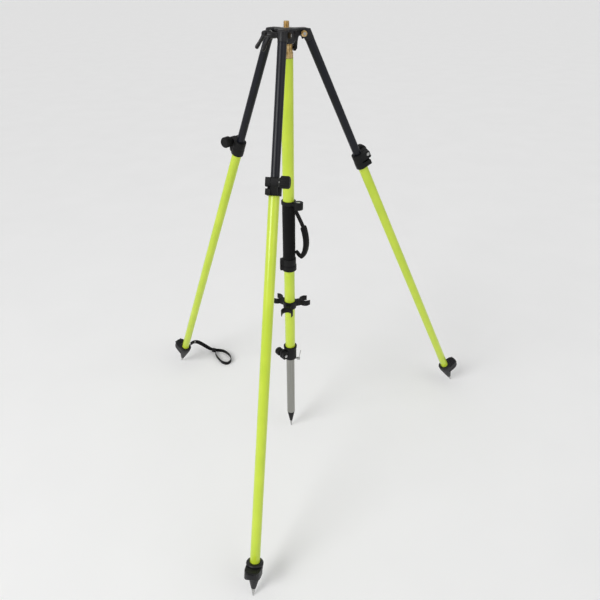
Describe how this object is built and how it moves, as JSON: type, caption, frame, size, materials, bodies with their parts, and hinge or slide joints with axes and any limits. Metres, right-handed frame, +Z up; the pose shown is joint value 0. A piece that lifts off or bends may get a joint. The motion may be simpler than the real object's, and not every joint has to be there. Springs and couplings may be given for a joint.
{
  "type": "fixed-height surveying tripod",
  "caption": "Fixed-height centre-staff tripod for a levelling instrument: folding telescopic legs, sliding staff with ground point, bubble vial and top stud.",
  "frame": {"origin": "centre of the staff's ground point, on the floor", "axes": "+Z up along the staff to the instrument seat; the front leg points along -Y"},
  "size_m": [1.3388, 1.1902, 1.516],
  "materials": {
    "neon_paint": "gloss powder coat",
    "black_paint": "satin",
    "black_casting": "satin powder coat",
    "black_plastic": "satin",
    "foam": "matt",
    "webbing": "woven",
    "brass": "machined",
    "steel": "turned",
    "anodised": "satin anodised",
    "vial_glass": "clear",
    "nylon": "natural"
  },
  "bodies": {
    "head": {"head_hub": "black_casting", "lock_collar": "brass", "hinge_bolt_front": "steel", "hinge_nut_front": "brass", "hinge_bolt_right": "steel", "hinge_nut_right": "brass", "hinge_bolt_left": "steel", "hinge_nut_left": "brass"},
    "staff": {"staff_spindle": "anodised", "instrument_stud": "brass", "staff_tube": "neon_paint", "staff_grip": "foam", "vial_bracket": "black_plastic", "vial_can": "black_paint", "vial_glass": "vial_glass", "grip_low_collar": "black_plastic", "hand_strap": "webbing", "hand_strap_pad": "foam", "leg_clip": "black_plastic", "staff_clamp": "black_plastic", "staff_clamp_bolt": "steel"},
    "staff_lower": {"staff_lower_tube": "anodised", "staff_cone": "black_plastic", "staff_point": "steel", "staff_guide_bush": "nylon"},
    "lock_screw": {"lock_screw": "black_plastic"},
    "staff_knob": {"staff_clamp_knob": "black_plastic"},
    "snap_pin": {"snap_pin": "steel"},
    "snap_ring": {"snap_pin_ring": "steel"},
    "leg_front": {"leg_knuckle_front": "black_casting", "upper_tube_front": "black_paint", "guide_bush_front": "nylon"},
    "foot_front": {"lower_tube_front": "neon_paint", "leg_collar_front": "black_plastic", "clamp_bolt_front": "steel", "foot_shoe_front": "black_casting", "foot_point_front": "steel"},
    "knob_front": {"clamp_knob_front": "black_plastic"},
    "lever_front": {"hinge_lever_front": "black_plastic"},
    "leg_right": {"leg_knuckle_right": "black_casting", "upper_tube_right": "black_paint", "guide_bush_right": "nylon"},
    "foot_right": {"lower_tube_right": "neon_paint", "leg_collar_right": "black_plastic", "clamp_bolt_right": "steel", "foot_shoe_right": "black_casting", "foot_point_right": "steel"},
    "knob_right": {"clamp_knob_right": "black_plastic"},
    "lever_right": {"hinge_lever_right": "black_plastic"},
    "leg_left": {"leg_knuckle_left": "black_casting", "upper_tube_left": "black_paint", "guide_bush_left": "nylon"},
    "foot_left": {"lower_tube_left": "neon_paint", "leg_collar_left": "black_plastic", "clamp_bolt_left": "steel", "foot_shoe_left": "black_casting", "foot_point_left": "steel", "foot_strap": "webbing"},
    "knob_left": {"clamp_knob_left": "black_plastic"},
    "lever_left": {"hinge_lever_left": "black_plastic"}
  },
  "joints": [
    {"name": "leg_fold_front", "type": "hinge", "parent": "head", "child": "leg_front", "pos_m": [0, -0.046, 1.4845], "axis": [1, 0, 0], "range_deg": [0, 24.11]},
    {"name": "leg_extend_front", "type": "slide", "parent": "leg_front", "child": "foot_front", "axis": [0, -0.4084, -0.9128], "range_m": [-0.27, 0.38]},
    {"name": "leg_clamp_turn_front", "type": "hinge", "parent": "foot_front", "child": "knob_front", "pos_m": [0, -0.2398, 1.15053], "axis": [1, 0, 0], "range_deg": [0, 360]},
    {"name": "hinge_lever_turn_front", "type": "hinge", "parent": "head", "child": "lever_front", "pos_m": [0, -0.046, 1.4845], "axis": [1, 0, 0], "range_deg": [-30, 30]},
    {"name": "leg_fold_right", "type": "hinge", "parent": "head", "child": "leg_right", "pos_m": [0.03984, 0.023, 1.4845], "axis": [-0.5, 0.866, 0], "range_deg": [0, 26.46]},
    {"name": "leg_extend_right", "type": "slide", "parent": "leg_right", "child": "foot_right", "axis": [0.3859, 0.2228, -0.8952], "range_m": [-0.30252, 0.34748]},
    {"name": "leg_clamp_turn_right", "type": "hinge", "parent": "foot_right", "child": "knob_right", "pos_m": [0.23197, 0.13393, 1.12967], "axis": [-0.5, 0.866, 0], "range_deg": [0, 360]},
    {"name": "hinge_lever_turn_right", "type": "hinge", "parent": "head", "child": "lever_right", "pos_m": [0.03984, 0.023, 1.4845], "axis": [-0.5, 0.866, 0], "range_deg": [-30, 30]},
    {"name": "leg_fold_left", "type": "hinge", "parent": "head", "child": "leg_left", "pos_m": [-0.03984, 0.023, 1.4845], "axis": [-0.5, -0.866, 0], "range_deg": [0, 23.23]},
    {"name": "leg_extend_left", "type": "slide", "parent": "leg_left", "child": "foot_left", "axis": [-0.3416, 0.1972, -0.9189], "range_m": [-0.25898, 0.39102]},
    {"name": "leg_clamp_turn_left", "type": "hinge", "parent": "foot_left", "child": "knob_left", "pos_m": [-0.19949, 0.11518, 1.15774], "axis": [-0.5, -0.866, 0], "range_deg": [0, 360]},
    {"name": "hinge_lever_turn_left", "type": "hinge", "parent": "head", "child": "lever_left", "pos_m": [-0.03984, 0.023, 1.4845], "axis": [-0.5, -0.866, 0], "range_deg": [-30, 30]},
    {"name": "staff_spin", "type": "hinge", "parent": "head", "child": "staff", "pos_m": [0, 0, 1.4611], "axis": [0, 0, 1], "range_deg": [-120, 240]},
    {"name": "staff_extend", "type": "slide", "parent": "staff", "child": "staff_lower", "axis": [0, 0, -1], "range_m": [0, 0.5]},
    {"name": "lock_screw_turn", "type": "hinge", "parent": "head", "child": "lock_screw", "pos_m": [0.01879, 0.00684, 1.451], "axis": [0.9397, 0.342, 0], "range_deg": [0, 360]},
    {"name": "staff_clamp_turn", "type": "hinge", "parent": "staff", "child": "staff_knob", "pos_m": [-0.02141, -0.02378, 0.3925], "axis": [-0.7431, 0.6691, 0], "range_deg": [0, 360]},
    {"name": "snap_pin_pull", "type": "slide", "parent": "staff_lower", "child": "snap_pin", "axis": [1, 0, 0], "range_m": [0, 0.045]},
    {"name": "snap_ring_swing", "type": "hinge", "parent": "snap_pin", "child": "snap_ring", "pos_m": [0.033, 0, 0.362], "axis": [0, 1, 0], "range_deg": [0, 165]}
  ]
}
